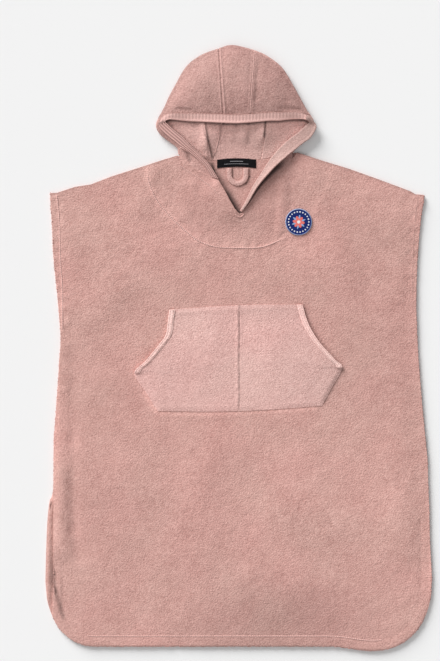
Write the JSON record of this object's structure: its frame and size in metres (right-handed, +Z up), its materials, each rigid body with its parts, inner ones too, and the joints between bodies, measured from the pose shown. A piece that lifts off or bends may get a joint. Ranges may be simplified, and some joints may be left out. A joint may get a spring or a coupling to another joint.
{
  "type": "hooded bath poncho",
  "caption": "Hooded terry bath poncho laid flat on its back, with a kangaroo pocket, a slit neck and the hood opened upwards.",
  "frame": {"origin": "middle of the ground that the laid garment covers, on the surface that it lies on", "axes": "+Y from the hem to the top of the hood, +X across the garment to the viewer's right from above, +Z up from the surface"},
  "size_m": [0.81, 1.27, 0.0308],
  "materials": {
    "terry": "looped pile, matt",
    "smooth_terry": "sheared, matt",
    "label_tape": "satin",
    "patch_cloth": "matt"
  },
  "bodies": {
    "root": {"back_panel": "terry", "front_panel": "terry", "hood_left": "terry", "hood_centre": "terry", "hood_right": "terry", "rim_band_left": "smooth_terry", "rim_band_brow": "smooth_terry", "rim_band_right": "smooth_terry", "pocket": "smooth_terry", "pocket_band_left": "smooth_terry", "pocket_band_right": "smooth_terry", "patch": "patch_cloth", "neck_label": "label_tape", "hanging_loop": "terry"}
  },
  "joints": []
}
